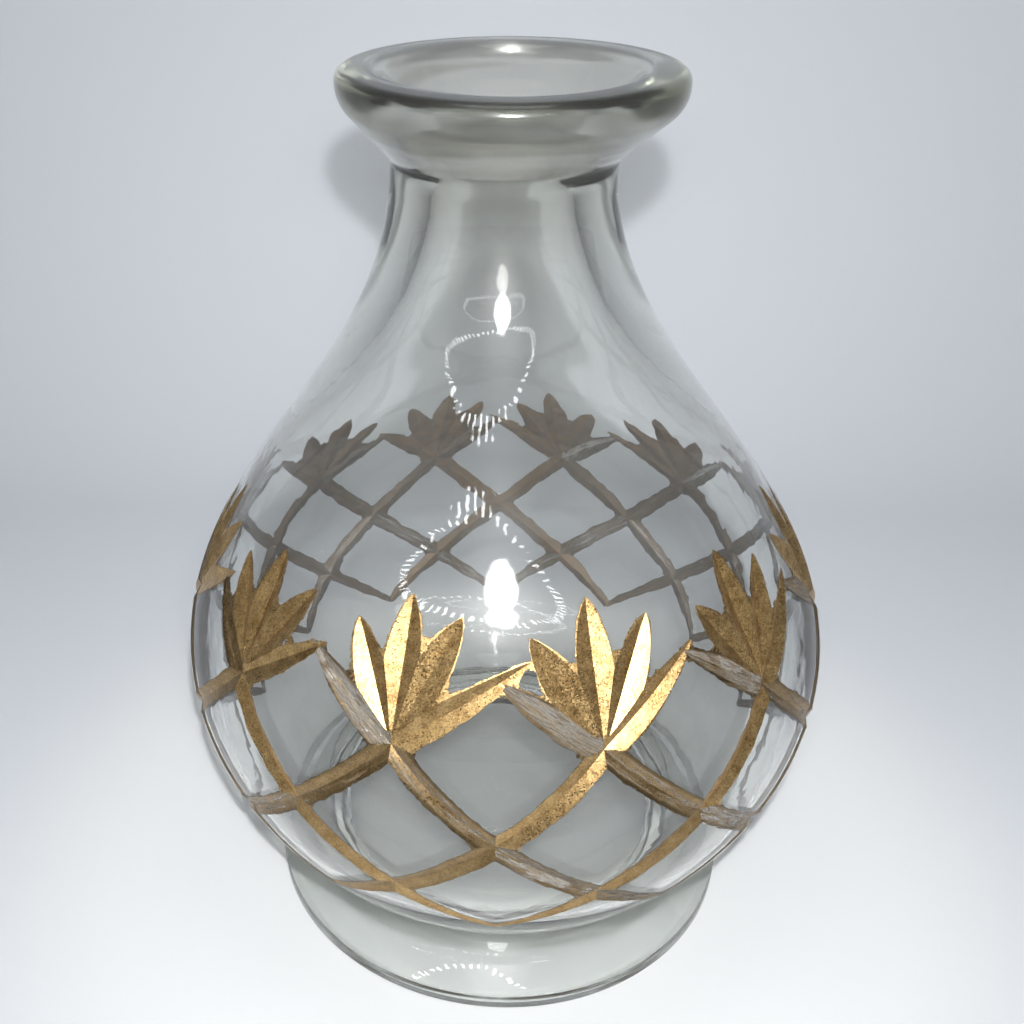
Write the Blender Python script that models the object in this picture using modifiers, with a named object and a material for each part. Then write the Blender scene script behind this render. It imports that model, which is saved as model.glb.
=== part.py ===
"""A clear glass vase with a wheel-cut lattice and fans round its belly, the cuts painted gold.

Metres, +Z up, origin at the middle of the plane that the foot rests on. Azimuths are in radians
from the front, which is -Y, towards +X. A lift is a distance out from the glass, along its normal.
"""

import math

import bpy
import numpy as np

# Foot: a flared skirt under the belly, hollow below, which rests on a flat ring
foot_radius = 0.0495
foot_edge_height = 0.0034
foot_edge_fillet = 0.0016
waist_radius = 0.0410
waist_height = 0.0125
waist_fillet = 0.0009
rest_ring_inner_radius = 0.0455
skirt_inner_radius = 0.0376
skirt_inner_height = 0.0085
skirt_inner_fillet = 0.0025
underside_radius = 0.0300
base_thickness = 0.0040

# Belly, shoulder and neck: a parabola from the waist up to the girth, then half a cosine wave
girth_radius = 0.0638
belly_rise = 0.0465
neck_radius = 0.0194
shoulder_rise = 0.0940
neck_rise = 0.0022
neck_fillet = 0.0020

# Collar: a cone from the neck to an upright band with a flat, rounded rim
collar_radius = 0.0289
collar_flare_rise = 0.0092
collar_band_rise = 0.0049
collar_fillet = 0.0026
rim_outer_fillet = 0.0012
rim_inner_fillet = 0.0016

# Hollow: the wall is thinnest on the shoulder, where the bulb was blown furthest, thicker at the
# base and thickest in the neck, and the mouth narrows to the neck's bore
belly_wall = 0.0030
shoulder_wall = 0.0023
neck_wall = 0.0055
shoulder_wall_height = 0.0900
neck_wall_height = 0.1280
floor_height = 0.0088
bowl_roundness = 0.80
mouth_radius = 0.0226
throat_fillet = 0.0090

# Cuts: one V-edged wheel makes the lattice lines and the leaf-shaped petals
fan_count = 12
lattice_rows = 3
base_height = 0.0755
row_drop = 0.0174
row_drop_easing = 0.00105
line_half_width = 0.0019
line_end_half_width = 0.0007
line_run_out = 0.0020
line_run_out_lift = 0.00040
rising_line_extra_depth = 0.00004
wheel_half_angle = math.radians(69.0)
middle_petal_length = 0.0240
side_petal_length = 0.0215
side_petal_angle = math.radians(24.0)
long_outer_petal_length = 0.0215
short_outer_petal_length = 0.0175
outer_petal_angle = math.radians(50.0)
petal_half_width = 0.0032
outer_petal_swell = 0.0020
cutter_rise = 0.0010
petal_overrun = 0.0012

# Gold: a film in each cut, deepest along the valley and thinning to nothing at its edges
film_thickness = 0.0003
seat_clearance = 0.0003
petal_joint = 0.0115
mitre_length = 0.0021

# Facets
turn_steps = 48
corner_steps = 2
underside_steps = 4
shoulder_steps = 11
belly_steps = 6
bowl_steps = 6
bore_steps = 9
line_cut_stations = 11
petal_cut_stations = 6
joint_stations = 3
free_petal_stations = np.array([0.38, 0.74, 1.0])
free_line_stations = [0.36, 0.66]
curve_samples = 600
line_samples = 25
axis_merge_distance = 0.00001

# Heights and spacings that follow from the sizes above
girth_height = waist_height + belly_rise
neck_height = girth_height + shoulder_rise
neck_top_height = neck_height + neck_rise
flare_top_height = neck_top_height + collar_flare_rise
rim_height = flare_top_height + collar_band_rise
fan_spacing = 2 * math.pi / fan_count
wheel_slope = math.tan(wheel_half_angle)
film_seat = seat_clearance / math.sin(wheel_half_angle)
film_depth = film_thickness / math.sin(wheel_half_angle)


def outer_radius(height):
    """Radius of the outside: a parabola below the girth and half a cosine wave above it."""
    below = girth_radius - (girth_radius - waist_radius) * ((girth_height - height) / belly_rise) ** 2
    turn = np.clip((height - girth_height) / shoulder_rise, 0.0, 1.0) * math.pi
    above = (girth_radius + neck_radius) / 2 + (girth_radius - neck_radius) / 2 * np.cos(turn)
    return np.where(height < girth_height, below, above)


def eased(share):
    """Smooth step: 0 below a share of 0, 1 above a share of 1, and level at both ends."""
    share = np.clip(share, 0.0, 1.0)
    return share**2 * (3 - 2 * share)


def bore_radius(height):
    """Radius of the hollow from the girth up to the neck: the outside's, less the wall there."""
    below = (shoulder_wall_height - height) / (shoulder_wall_height - girth_height)
    above = (height - shoulder_wall_height) / (neck_wall_height - shoulder_wall_height)
    wall = shoulder_wall + (belly_wall - shoulder_wall) * eased(below)
    wall += (neck_wall - shoulder_wall) * eased(above)
    return outer_radius(height) - wall


def bowl_height(radius):
    """Height of the hollow's floor at this radius: its cosine is a power of the radius's share."""
    cosine = (radius / (girth_radius - belly_wall)) ** (1 / bowl_roundness)
    return girth_height - (girth_height - floor_height) * np.sqrt(1 - cosine**2)


def rounded_outline(corners):
    """Radius and height points of an outline whose corners are (radius, height, fillet).

    A fillet is an arc tangent to both sides of its corner, limited to half of the shorter side.
    """
    points = []
    for index, (radius, height, fillet) in enumerate(corners):
        here = np.array([radius, height])
        if fillet == 0.0:
            points.append(here)
            continue
        before = np.array(corners[index - 1][:2]) - here
        after = np.array(corners[index + 1][:2]) - here
        shorter = min(np.linalg.norm(before), np.linalg.norm(after))
        before /= np.linalg.norm(before)
        after /= np.linalg.norm(after)
        half_corner = math.acos(float(np.clip(before @ after, -1.0, 1.0))) / 2
        reach = min(fillet / math.tan(half_corner), shorter / 2)
        bisector = (before + after) / np.linalg.norm(before + after)
        centre = here + bisector * reach / math.cos(half_corner)
        first = here + before * reach - centre
        last = here + after * reach - centre
        swing = math.pi - 2 * half_corner
        for step in range(corner_steps + 1):
            share = step / corner_steps
            weight_first = math.sin((1 - share) * swing) / math.sin(swing)
            weight_last = math.sin(share * swing) / math.sin(swing)
            points.append(centre + first * weight_first + last * weight_last)
    return np.array(points)


def glass_outline():
    """Half section of the glass, from the inside floor up over the rim and down the outside."""
    bowl_turn = np.linspace(math.pi / 2, 0.0, bowl_steps + 1)
    bowl_heights = girth_height - (girth_height - floor_height) * np.sin(bowl_turn)
    bowl_radii = (girth_radius - belly_wall) * np.clip(np.cos(bowl_turn), 0.0, 1.0) ** bowl_roundness
    bowl_radii[0] = 0.0
    bore_heights = np.linspace(girth_height, neck_height, bore_steps + 1)[1:-1]
    shoulder_heights = np.linspace(neck_height, girth_height, shoulder_steps + 1)
    belly_heights = np.linspace(girth_height, waist_height, belly_steps + 1)[1:-1]
    corners = [(r, z, 0.0) for r, z in zip(bowl_radii, bowl_heights)]
    corners += [(float(bore_radius(z)), z, 0.0) for z in bore_heights]
    corners += [
        (neck_radius - neck_wall, neck_height, throat_fillet),
        (mouth_radius, rim_height, rim_inner_fillet),
        (collar_radius, rim_height, rim_outer_fillet),
        (collar_radius, flare_top_height, collar_fillet),
        (neck_radius, neck_top_height, neck_fillet),
    ]
    corners += [(float(outer_radius(z)), z, 0.0) for z in shoulder_heights]
    corners += [(float(outer_radius(z)), z, 0.0) for z in belly_heights]
    underside_radii = np.linspace(underside_radius, 0.0, underside_steps + 1)
    corners += [
        (waist_radius, waist_height, waist_fillet),
        (foot_radius, foot_edge_height, foot_edge_fillet),
        (foot_radius, 0.0, foot_edge_fillet),
        (rest_ring_inner_radius, 0.0, 0.0),
        (skirt_inner_radius, skirt_inner_height, skirt_inner_fillet),
    ]
    corners += [(r, float(bowl_height(r)) - base_thickness, 0.0) for r in underside_radii]
    return rounded_outline(corners)


def material(name, colour, roughness, metallic, transmission):
    """A Principled material."""
    made = bpy.data.materials.new(name)
    made.use_nodes = True
    shader = made.node_tree.nodes["Principled BSDF"]
    shader.inputs["Base Color"].default_value = (*colour, 1.0)
    shader.inputs["Roughness"].default_value = roughness
    shader.inputs["Metallic"].default_value = metallic
    shader.inputs["Transmission Weight"].default_value = transmission
    made.diffuse_color = (*colour, 1.0)
    made.roughness = roughness
    made.metallic = metallic
    return made


def add_object(name, points, edges, faces, home):
    """A mesh object with these points and faces, in the collection home."""
    mesh = bpy.data.meshes.new(name)
    mesh.from_pydata(np.asarray(points).tolist(), edges, faces)
    mesh.validate()
    made = bpy.data.objects.new(name, mesh)
    home.objects.link(made)
    return made


# The lattice and the fans are laid out on the glass by azimuth and height. A distance up the
# glass is measured along its curve, and a distance sideways along its circle at that height.
curve_heights = np.linspace(waist_height, neck_height, curve_samples)
curve_radii = outer_radius(curve_heights)
curve_steps = np.hypot(np.diff(curve_heights), np.diff(curve_radii))
curve_lengths = np.concatenate([[0.0], np.cumsum(curve_steps)])


def up_the_curve(height):
    """Distance along the outside's curve from the waist to this height."""
    return np.interp(height, curve_heights, curve_lengths)


def height_up_the_curve(length):
    """Height of the point this far along the outside's curve from the waist."""
    return np.interp(length, curve_lengths, curve_heights)


def on_glass(azimuth, height):
    """Point on the outside of the glass."""
    radius = outer_radius(height)
    return np.stack([radius * np.sin(azimuth), -radius * np.cos(azimuth), height], axis=-1)


def glass_normal(azimuth, height):
    """Outward normal of the outside, from the slope of its curve."""
    small = 1e-5
    slope = (outer_radius(height + small) - outer_radius(height - small)) / (2 * small)
    normal = np.stack([np.sin(azimuth), -np.cos(azimuth), -slope], axis=-1)
    return normal / np.linalg.norm(normal, axis=-1, keepdims=True)


def sections_along(azimuth, height, offsets):
    """Cross-sections of a cut or film: offsets[i, j] is (sideways, lift) of corner j at station i.

    Sideways is square to the path in the plane that touches the glass, to the path's right.
    """
    middle = on_glass(azimuth, height)
    normal = glass_normal(azimuth, height)
    ahead = np.gradient(middle, axis=0)
    right = np.cross(ahead, normal)
    right /= np.linalg.norm(right, axis=-1, keepdims=True)
    sideways = offsets[:, :, 0, None] * right[:, None, :]
    lift = offsets[:, :, 1, None] * normal[:, None, :]
    return middle[:, None, :] + sideways + lift


def loft(sections, first_tip=None, last_tip=None):
    """Points and faces of a skin over the sections, closed by flat caps or by pointed tips.

    Each section runs round the path's direction from right to left below and back above.
    """
    count, corners = sections.shape[:2]
    points = sections.reshape(-1, 3)
    faces = []
    for ring in range(count - 1):
        for corner in range(corners):
            a = ring * corners + corner
            b = ring * corners + (corner + 1) % corners
            faces.append((a, b, b + corners, a + corners))
    last = (count - 1) * corners
    if first_tip is None:
        faces.append(tuple(reversed(range(corners))))
        faces.append(tuple(range(last, last + corners)))
        return points, faces
    first_index = len(points)
    points = np.vstack([points, first_tip, last_tip])
    for corner in range(corners):
        following = (corner + 1) % corners
        faces.append((first_index, following, corner))
        faces.append((first_index + 1, last + corner, last + following))
    return points, faces


def line_path(base_azimuth, lean, row):
    """Azimuth and height of a lattice line, row rows below its fan; lean is +1 to fall rightwards."""
    row = np.asarray(row, float)
    azimuth = base_azimuth + lean * row * fan_spacing / 2
    height = base_height - row_drop * row + row_drop_easing * row**2
    return azimuth, height


def line_width_at(row):
    """Half width of a line: even down to the row before the last, then narrowing to its end."""
    fade = np.clip(row - (lattice_rows - 1), 0.0, 1.0)
    return line_half_width + (line_end_half_width - line_half_width) * fade


def petal_path(base_azimuth, angle, length, distance):
    """Azimuth and height of the point at this distance up a petal that leans by angle."""
    height = height_up_the_curve(up_the_curve(base_height) + distance * math.cos(angle))
    azimuth = base_azimuth + distance * math.sin(angle) / outer_radius(height)
    return azimuth, height


def petal_width_at(share, root):
    """Half width of a petal: a leaf between two points, or one that starts as wide as a line."""
    leaf = 4 * share * (1 - share)
    if root == 0.0:
        return petal_half_width * leaf
    return root * (1 - share) + outer_petal_swell * leaf


# Petals of one fan, from the left: angle from straight up, length and half width at the root
petals = [
    (-outer_petal_angle, short_outer_petal_length, line_half_width),
    (-side_petal_angle, side_petal_length, 0.0),
    (0.0, middle_petal_length, 0.0),
    (side_petal_angle, side_petal_length, 0.0),
    (outer_petal_angle, long_outer_petal_length, line_half_width),
]


def wheel_cut(azimuth, height, depth):
    """Solid that a V-edged wheel sweeps: its edge runs at this depth, its sides rise above the glass."""
    reach = (depth + cutter_rise) * wheel_slope
    rise = np.full_like(depth, cutter_rise)
    corners = [(reach, rise), (np.zeros_like(depth), -depth), (-reach, rise)]
    offsets = np.stack([np.stack(corner, axis=-1) for corner in corners], axis=1)
    return loft(sections_along(azimuth, height, offsets))


def line_cut(base_azimuth, lean, extra_depth):
    """Cutter for one lattice line, which runs out of the glass past its last crossing."""
    overrun = line_run_out / row_drop
    row = np.linspace(-overrun, lattice_rows + overrun, line_cut_stations)
    depth = line_width_at(row) / wheel_slope + extra_depth
    depth -= np.clip(row - lattice_rows, 0.0, None) / overrun * line_run_out_lift
    azimuth, height = line_path(base_azimuth, lean, row)
    return wheel_cut(azimuth, height, depth)


def petal_cut(base_azimuth, angle, length, root):
    """Cutter for one petal: the wheel dips into the glass and comes out at the petal's tip."""
    distance = np.linspace(-petal_overrun, length + petal_overrun, petal_cut_stations)
    depth = petal_width_at(distance / length, root) / wheel_slope
    azimuth, height = petal_path(base_azimuth, angle, length, distance)
    return wheel_cut(azimuth, height, depth)


def room_beside(angle, distance):
    """Sideways room at this distance along an arm, up to a ray from its start at this angle."""
    return distance * math.tan(angle)


def petal_arm(base_azimuth, angle, length, root):
    """Stations of a petal's film, from near the fan's base to the petal's tip."""
    joined = np.linspace(line_half_width, petal_joint, joint_stations)
    distance = np.concatenate([joined, petal_joint + (length - petal_joint) * free_petal_stations])
    azimuth, height = petal_path(base_azimuth, angle, length, distance)
    return {
        "angle": angle,
        "joints": joint_stations,
        "distance": distance,
        "azimuth": azimuth,
        "height": height,
        "cut": petal_width_at(distance / length, root),
        "limits": (math.inf, math.inf),
    }


def line_arm(base_azimuth, lean, from_row, to_row):
    """Stations of a line's film from one crossing to the next, where its end is mitred to a point."""
    rows = np.linspace(from_row, to_row, line_samples)
    azimuths, heights = line_path(base_azimuth, lean, rows)
    steps_up = np.diff(up_the_curve(heights))
    steps_right = np.diff(azimuths) * outer_radius((heights[1:] + heights[:-1]) / 2)
    lengths = np.concatenate([[0.0], np.cumsum(np.hypot(steps_up, steps_right))])
    length = lengths[-1]
    stops = [line_half_width, *(share * length for share in free_line_stations)]
    distance = np.array([*stops, length - mitre_length, length - seat_clearance])
    row = np.interp(distance, lengths, rows)
    azimuth, height = line_path(base_azimuth, lean, row)
    # A mitre has one side along the meridian and one along the level circle through the crossing
    steepness = math.atan2(abs(steps_right[-1]), abs(steps_up[-1]))
    half_gap = seat_clearance / 2
    to_meridian = room_beside(steepness, length - distance) - half_gap / math.cos(steepness)
    to_level = room_beside(math.pi / 2 - steepness, length - distance) - half_gap / math.sin(steepness)
    meridian_on_left = steps_up[-1] * steps_right[-1] < 0
    return {
        "angle": math.atan2(steps_right[0], steps_up[0]),
        "joints": 1,
        "distance": distance,
        "azimuth": azimuth,
        "height": height,
        "cut": line_width_at(row),
        "limits": (to_meridian, to_level) if meridian_on_left else (to_level, to_meridian),
    }


def place_arm(arm, hub, room_left, room_right):
    """Adds to an arm the points of its valley, above and below, and of its two wings' edges."""
    middle = on_glass(arm["azimuth"], arm["height"])
    normal = glass_normal(arm["azimuth"], arm["height"])
    ahead = np.gradient(np.vstack([hub, middle]), axis=0)[1:]
    right = np.cross(ahead, normal)
    right /= np.linalg.norm(right, axis=-1, keepdims=True)
    seat = film_seat - arm["cut"] / wheel_slope
    arm["normal"] = normal
    arm["bottom"] = middle + normal * seat[:, None]
    arm["top"] = middle + normal * (seat + film_depth)[:, None]
    sides = [("left", -right, room_left, 0), ("right", right, room_right, 1)]
    for side, outwards, angle, limit in sides:
        room = np.minimum(room_beside(angle, arm["distance"]), arm["limits"][limit])
        width = np.clip(np.minimum(arm["cut"], room), 0.0, None)
        lift = seat + width / wheel_slope
        arm[side] = middle + outwards * width[:, None] + normal * lift[:, None]


def arm_faces(arm, left_ridge, right_ridge, hub_pair, points):
    """Faces of one arm, ring by ring from the hub to its tip; new points are added to points.

    A ring runs right edge above and below, valley below, left edge below and above, valley above.
    At a ridge the side wall is left out, as the neighbouring arm carries on from there.
    """
    faces = []
    hub_below, hub_above = hub_pair
    inner = [hub_above, hub_above, hub_below, hub_above, hub_above, hub_above]
    last = len(arm["distance"]) - 1
    for station in range(last):
        at_right = station < len(right_ridge)
        at_left = station < len(left_ridge)
        edges = []
        for side, ridge, joined in (("right", right_ridge, at_right), ("left", left_ridge, at_left)):
            if not joined:
                points.append(arm[side][station])
            edges.append(ridge[station] if joined else (len(points) - 1, len(points) - 1))
        points += [arm["bottom"][station], arm["top"][station]]
        below, above = len(points) - 2, len(points) - 1
        (right_above, right_below), (left_above, left_below) = edges
        ring = [right_above, right_below, below, left_below, left_above, above]
        if station == 0:
            faces += [(hub_below, below, right_below), (hub_below, left_below, below)]
            faces += [(hub_above, above, left_above), (hub_above, right_above, above)]
            inner = ring
            continue
        for edge in range(6):
            if (edge == 0 and at_right) or (edge == 3 and at_left):
                continue
            ahead = (edge + 1) % 6
            corners = dict.fromkeys([inner[edge], inner[ahead], ring[ahead], ring[edge]])
            if len(corners) > 2:
                faces.append(tuple(corners))
        inner = ring
    points.append((arm["bottom"][last] + arm["top"][last]) / 2)
    for edge in range(6):
        ahead = (edge + 1) % 6
        if inner[edge] != inner[ahead]:
            faces.append((inner[edge], inner[ahead], len(points) - 1))
    return faces


def film_star(hub_azimuth, hub_height, arms):
    """Points and faces of one film: arms that spread from a hub, each a V with a pointed end.

    Neighbouring arms share the points of the ridge between their cuts, as far as their joints go.
    Past that, a wing thins to nothing at the edge of its own cut.
    """
    arms = sorted(arms, key=lambda arm: arm["angle"] % (2 * math.pi))
    hub = on_glass(hub_azimuth, hub_height)
    hub_normal = glass_normal(hub_azimuth, hub_height)
    hub_seat = film_seat - line_half_width / wheel_slope
    points = [hub + hub_normal * hub_seat, hub + hub_normal * (hub_seat + film_depth)]
    turns = [arm["angle"] for arm in arms]
    partings = [(b - a) % (2 * math.pi) / 2 for a, b in zip(turns, turns[1:] + turns[:1])]
    for index, arm in enumerate(arms):
        place_arm(arm, hub, partings[index - 1], partings[index])
    ridges = []
    for index, arm in enumerate(arms):
        after = arms[(index + 1) % len(arms)]
        ridge = []
        for station in range(min(arm["joints"], after["joints"])):
            below = (arm["right"][station] + after["left"][station]) / 2
            points += [below + arm["normal"][station] * film_depth, below]
            ridge.append((len(points) - 2, len(points) - 1))
        ridges.append(ridge)
    faces = []
    for index, arm in enumerate(arms):
        faces += arm_faces(arm, ridges[index - 1], ridges[index], (0, 1), points)
    return np.array(points), faces


def join(bodies):
    """Points and faces of several separate bodies, as one list of each."""
    points = []
    faces = []
    total = 0
    for body_points, body_faces in bodies:
        points.append(body_points)
        faces += [tuple(index + total for index in face) for face in body_faces]
        total += len(body_points)
    return np.vstack(points), faces


for leftover in list(bpy.data.objects):
    bpy.data.objects.remove(leftover, do_unlink=True)

scene_collection = bpy.context.scene.collection
vase = bpy.data.collections.new("glass_vase")
cutters = bpy.data.collections.new("cutters")
scene_collection.children.link(vase)
scene_collection.children.link(cutters)

glass = material("clear_glass", (0.90, 0.93, 0.92), 0.03, 0.0, 1.0)
bright_gold = material("gold_paint", (0.62, 0.42, 0.15), 0.38, 1.0, 0.0)
worn_gold = material("worn_gold_paint", (0.45, 0.35, 0.22), 0.55, 0.7, 0.0)

base_azimuths = (np.arange(fan_count) + 0.5) * fan_spacing

# Glass: one turned body, from which the wheel takes the lines and then the petals
outline = glass_outline()
profile_points = np.column_stack([outline[:, 0], np.zeros(len(outline)), outline[:, 1]])
profile_edges = [(index, index + 1) for index in range(len(outline) - 1)]
glass_body = add_object("glass_body", profile_points, profile_edges, [], vase)
glass_body.data.materials.append(glass)
turn = glass_body.modifiers.new("turn", "SCREW")
turn.axis = "Z"
turn.steps = turn_steps
turn.render_steps = turn_steps
turn.use_merge_vertices = True
turn.merge_threshold = axis_merge_distance

cut_groups = {
    "falling_line_cuts": [line_cut(azimuth, 1, 0.0) for azimuth in base_azimuths],
    "rising_line_cuts": [
        line_cut(azimuth, -1, rising_line_extra_depth) for azimuth in base_azimuths
    ],
}
for number, (angle, length, root) in enumerate(petals, 1):
    cut_groups[f"petal_{number}_cuts"] = [
        petal_cut(azimuth, angle, length, root) for azimuth in base_azimuths
    ]

for name, bodies in cut_groups.items():
    points, faces = join(bodies)
    cutter = add_object(name, points, [], faces, cutters)
    cutter.hide_render = True
    cutter.display_type = "WIRE"

wheel_work = glass_body.modifiers.new("wheel_work", "BOOLEAN")
wheel_work.operation = "DIFFERENCE"
wheel_work.solver = "EXACT"
wheel_work.operand_type = "COLLECTION"
wheel_work.collection = cutters

# Gold: one film for each fan with the two lines below it, and one for each crossing further down
for number, azimuth in enumerate(base_azimuths, 1):
    arms = [petal_arm(azimuth, angle, length, root) for angle, length, root in petals]
    arms += [line_arm(azimuth, lean, 0, 1) for lean in (-1, 1)]
    points, faces = film_star(azimuth, base_height, arms)
    fan = add_object(f"fan_gilding_{number:02d}", points, [], faces, vase)
    fan.data.materials.append(bright_gold)

for number, azimuth in enumerate(base_azimuths, 1):
    arms = []
    for lean in (-1, 1):
        fan_azimuth = azimuth - lean * fan_spacing
        arms.append(line_arm(fan_azimuth, lean, 2, 1))
        arms.append(line_arm(fan_azimuth, lean, 2, lattice_rows))
    hub_azimuth, hub_height = line_path(azimuth - fan_spacing, 1, 2)
    points, faces = film_star(hub_azimuth, hub_height, arms)
    cross = add_object(f"cross_gilding_{number:02d}", points, [], faces, vase)
    cross.data.materials.append(worn_gold)
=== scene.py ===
"""The looks of a clear glass vase with a wheel-cut, gold-painted lattice and fans round its belly.

Metres, +Z up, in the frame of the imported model. Azimuths are in radians from the front, -Y, towards
+X, and a distance up the glass is measured along the curve of its outside.
"""

import math

import bmesh
import bpy
import numpy as np
from mathutils import Matrix, Vector
from mathutils.geometry import delaunay_2d_cdt


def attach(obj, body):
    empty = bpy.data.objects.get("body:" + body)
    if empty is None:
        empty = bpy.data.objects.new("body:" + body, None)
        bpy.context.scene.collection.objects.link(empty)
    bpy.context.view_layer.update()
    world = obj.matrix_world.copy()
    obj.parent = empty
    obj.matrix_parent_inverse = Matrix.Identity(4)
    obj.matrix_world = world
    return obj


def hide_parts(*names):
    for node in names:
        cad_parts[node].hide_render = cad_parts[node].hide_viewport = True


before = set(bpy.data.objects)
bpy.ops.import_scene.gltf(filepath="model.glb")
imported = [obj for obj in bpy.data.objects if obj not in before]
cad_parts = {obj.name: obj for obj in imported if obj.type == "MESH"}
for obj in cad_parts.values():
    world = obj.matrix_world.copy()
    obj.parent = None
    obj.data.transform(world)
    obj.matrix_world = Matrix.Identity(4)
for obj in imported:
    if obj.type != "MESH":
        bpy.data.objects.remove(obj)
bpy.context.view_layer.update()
scene = bpy.context.scene

# Glass body. A blown bulb on a hollow flared foot, with a thick collar shaped by hand at the fire,
# all one piece of glass. A V-edged wheel cut the lattice of lines and the fans of five petals.
foot_radius = 0.0495
foot_edge_height = 0.0034
foot_edge_fillet = 0.0015
waist_radius = 0.0410
waist_height = 0.0125
waist_fillet = 0.0009
flare_radius = 0.0440
flare_height = 0.0078
flare_fillet = 0.0060
rest_ring_inner_radius = 0.0455
rest_ring_fillet = 0.0008
skirt_inner_radius = 0.0376
skirt_inner_height = 0.0085
skirt_inner_fillet = 0.0040
underside_radius = 0.0300
underside_pole_radius = 0.0020
base_thickness = 0.0040

girth_radius = 0.0638
girth_height = 0.0590
neck_radius = 0.0194
neck_height = 0.1530
neck_top_height = 0.1552
neck_fillet = 0.0020

collar_radius = 0.0289
flare_top_height = 0.1644
rim_height = 0.1693
collar_fillet = 0.0060
rim_outer_fillet = 0.0020
rim_inner_fillet = 0.0028

belly_wall = 0.0030
shoulder_wall = 0.0023
neck_wall = 0.0075
shoulder_wall_height = 0.0900
neck_wall_height = 0.1340
floor_height = 0.0088
bowl_roundness = 0.80
mouth_radius = 0.0219
throat_fillet = 0.0090
throat_drop = 0.0060
# The rim was finished by hand: it sits a little off the axis, leans back and dips at the front
rim_offset = 0.0012
rim_rise_left = 0.0258
rim_rise_back = 0.0282
rim_dip = 0.0004
lean_depth = 0.0040

fan_count = 12
fan_spacing = 2 * math.pi / fan_count
lattice_rows = 3
base_height = 0.0755
row_drop = 0.0174
row_drop_easing = 0.00105
line_half_width = 0.0019
line_end_half_width = 0.0007
line_run_out = 0.0016
line_run_out_bend = 2.5
# Rows by which a line runs past its top and its foot
line_top_overrun = 0.06
line_foot_overrun = 0.038
wheel_slope = math.tan(math.radians(69.0))
petal_half_width = 0.0028
petal_bluntness = 0.80
outer_petal_swell = 0.0009
outer_petal_bluntness = 0.60
outer_petal_taper = 1.5
# How fast a petal's cut closes past its root and past its tip, and the reach of the ridges between two
petal_root_closing = 2.0
petal_tip_closing = 1.5
ridge_start = 0.0015
ridge_end = 0.016
# Petals of a usual fan, from the left: angle from straight up in degrees, length, half width at the root
usual_petals = [
    (-50.0, 0.0190, line_half_width),
    (-25.0, 0.0210, 0.0),
    (0.0, 0.0245, 0.0),
    (24.0, 0.0222, 0.0),
    (50.0, 0.0212, line_half_width),
]
# A fan's cuts are numbered: its petals from 0, then the line that leans left and the one that leans right
petal_count = len(usual_petals)
# Fans are numbered from 0 at +15 degrees, and each next one is 30 degrees further round. Fan 0 has the
# usual petals and fan 11 its own turns, in degrees, and growths. The others' stray up to the spreads.
petal_turn_spread = 1.6
petal_growth_spread = 0.0007
right_front_fan = 0
left_front_fan = 11
left_front_turns = (0.0, 3.0, 0.5, -4.0, 1.0)
left_front_growths = (0.0010, -0.0003, 0.0002, 0.0012, 0.0030)
# The cuts were spaced by eye: a little further apart at the front, in radians of sine waves
spacing_drift = (0.050, 0.024)


def eased(share):
    """Smooth step: 0 below a share of 0, 1 above a share of 1, and level at both ends."""
    share = np.clip(share, 0.0, 1.0)
    return share**2 * (3 - 2 * share)


def height_to_radius(height):
    """Radius of the outside: a parabola below the girth and half a cosine wave above it."""
    drop = (girth_height - height) / (girth_height - waist_height)
    below = girth_radius - (girth_radius - waist_radius) * drop**2
    turn = np.clip((height - girth_height) / (neck_height - girth_height), 0.0, 1.0) * math.pi
    above = (girth_radius + neck_radius) / 2 + (girth_radius - neck_radius) / 2 * np.cos(turn)
    return np.where(height < girth_height, below, above)


curve_heights = np.linspace(waist_height, neck_height, 4000)
curve_radii = height_to_radius(curve_heights)
curve_lengths = np.concatenate(
    [[0.0], np.cumsum(np.hypot(np.diff(curve_heights), np.diff(curve_radii)))]
)


def length_at(height):
    """Distance along the curve of the outside from the waist to this height."""
    return np.interp(height, curve_heights, curve_lengths)


def height_at(length):
    """Height of the point this far along the curve of the outside."""
    return np.interp(length, curve_lengths, curve_heights)


def slope_at(height):
    """Change of the outside's radius with the height, from two points close to this one."""
    small = 1e-5
    return (height_to_radius(height + small) - height_to_radius(height - small)) / (2 * small)


def spaced(azimuth):
    """Azimuth drifted from even spacing by two sine waves."""
    return azimuth + spacing_drift[0] * np.sin(azimuth) + spacing_drift[1] * np.sin(2 * azimuth)


def on_outside(azimuth, length, depth):
    """Points of the outside, sunk by depth along the normal of the uncut glass."""
    azimuth = spaced(azimuth)
    height = height_at(length)
    slope = slope_at(height)
    steep = 1 / np.sqrt(1 + slope**2)
    radius = height_to_radius(height) - depth * steep
    return np.stack(
        [radius * np.sin(azimuth), -radius * np.cos(azimuth), height + depth * slope * steep], axis=-1
    )


def row_height(row):
    """Height at t rows below the fans' bases: base less drop times t plus easing times t squared."""
    return base_height - row_drop * row + row_drop_easing * row**2


def row_at(height):
    """Rows below the fans' bases of this height: the smaller root of row_height's quadratic."""
    under_root = row_drop**2 - 4 * row_drop_easing * (base_height - height)
    return (row_drop - np.sqrt(np.maximum(under_root, 0.0))) / (2 * row_drop_easing)


def line_half_width_at(row):
    """Half width of a lattice line: even, then narrowing over the last row, and run out at its ends."""
    narrowed = line_half_width + (line_end_half_width - line_half_width) * np.clip(row - 2, 0, 1)
    past = np.clip(np.maximum(-row, row - lattice_rows), 0.0, None) * row_drop
    return narrowed - line_run_out_bend * past**2 / line_run_out


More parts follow.
